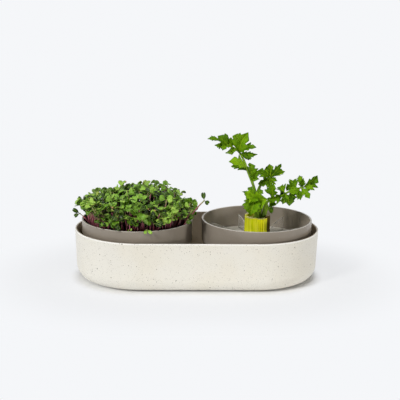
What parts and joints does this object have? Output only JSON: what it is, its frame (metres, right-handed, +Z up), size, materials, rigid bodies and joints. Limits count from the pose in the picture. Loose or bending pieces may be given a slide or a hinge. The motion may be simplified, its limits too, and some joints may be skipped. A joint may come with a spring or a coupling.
{
  "type": "indoor herb planter",
  "caption": "Stadium-shaped indoor planter with loose round pots: one grows microgreens on a sieve, one regrows a celery end on a finned insert.",
  "frame": {"origin": "middle of the flat base that the planter stands on", "axes": "+X along the planter's length towards the celery, +Y away from the front, +Z up"},
  "size_m": [0.3, 0.159, 0.1821],
  "materials": {
    "cream_speckle": "satin",
    "taupe": "satin",
    "fibre_mat": "matte",
    "seed_leaf": "satin",
    "celery_flesh": "satin",
    "celery_leaf": "satin"
  },
  "bodies": {
    "planter": {"outer_planter": "cream_speckle"},
    "left_pot": {"microgreens_pot": "taupe"},
    "sieve": {"sprouting_sieve": "taupe"},
    "greens": {"growing_mat": "fibre_mat", "microgreens": "seed_leaf"},
    "right_pot": {"regrow_pot": "taupe"},
    "insert": {"regrow_insert": "taupe"},
    "celery": {"celery_base": "celery_flesh", "tall_stalk": "celery_leaf", "middle_stalk": "celery_leaf", "right_stalk": "celery_leaf", "front_stalk": "celery_leaf", "side_stalk": "celery_leaf"}
  },
  "joints": [
    {"name": "left_pot_lift", "type": "slide", "parent": "planter", "child": "left_pot", "axis": [0, 0, 1], "range_m": [0, 0.075]},
    {"name": "sieve_lift", "type": "slide", "parent": "left_pot", "child": "sieve", "axis": [0, 0, 1], "range_m": [0, 0.045]},
    {"name": "greens_lift", "type": "slide", "parent": "sieve", "child": "greens", "axis": [0, 0, 1], "range_m": [0, 0.04]},
    {"name": "right_pot_lift", "type": "slide", "parent": "planter", "child": "right_pot", "axis": [0, 0, 1], "range_m": [0, 0.075]},
    {"name": "insert_lift", "type": "slide", "parent": "right_pot", "child": "insert", "axis": [0, 0, 1], "range_m": [0, 0.045]},
    {"name": "celery_lift", "type": "slide", "parent": "insert", "child": "celery", "axis": [0, 0, 1], "range_m": [0, 0.045]}
  ]
}
